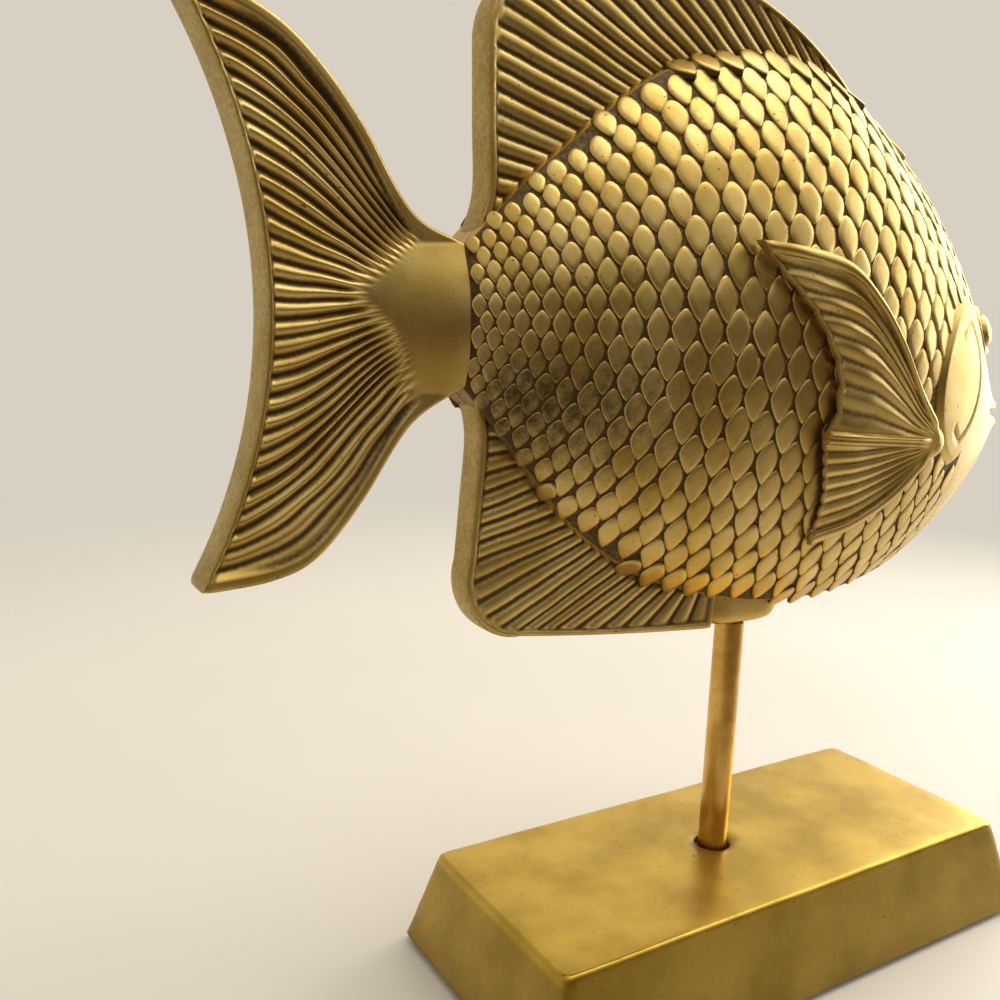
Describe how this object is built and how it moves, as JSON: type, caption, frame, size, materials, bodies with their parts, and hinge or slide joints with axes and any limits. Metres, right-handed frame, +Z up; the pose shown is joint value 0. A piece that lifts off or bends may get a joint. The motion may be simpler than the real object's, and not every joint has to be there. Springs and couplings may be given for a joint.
{
  "type": "fish figurine",
  "caption": "Disc-bodied brass fish with rayed fins on a round post over a bevelled felt-footed base; the fish turns on its post, for display on a shelf.",
  "frame": {"origin": "on the table, under the felt pad, on the post's axis", "axes": "+Z up along the post, +X towards the fish's head, -Y towards its near side"},
  "size_m": [0.249, 0.0754, 0.2545],
  "materials": {
    "cast_brass": "antiqued, polished highs",
    "base_brass": "satin polished",
    "rod_brass": "drawn and polished",
    "felt": "pressed felt"
  },
  "bodies": {
    "stand": {"base_casting": "base_brass", "felt_pad": "felt", "post": "rod_brass", "plain_washer": "rod_brass", "spring_washer": "rod_brass", "hex_nut": "rod_brass"},
    "fish": {"near_body_shell": "cast_brass", "far_body_shell": "cast_brass", "tail_fin": "cast_brass", "dorsal_fin": "cast_brass", "anal_fin": "cast_brass", "near_pectoral_fin": "cast_brass", "far_pectoral_fin": "cast_brass", "belly_boss": "cast_brass"}
  },
  "joints": [
    {"name": "fish_turn", "type": "hinge", "parent": "stand", "child": "fish", "pos_m": [0, 0, 0.0937], "axis": [0, 0, 1], "continuous": true}
  ]
}
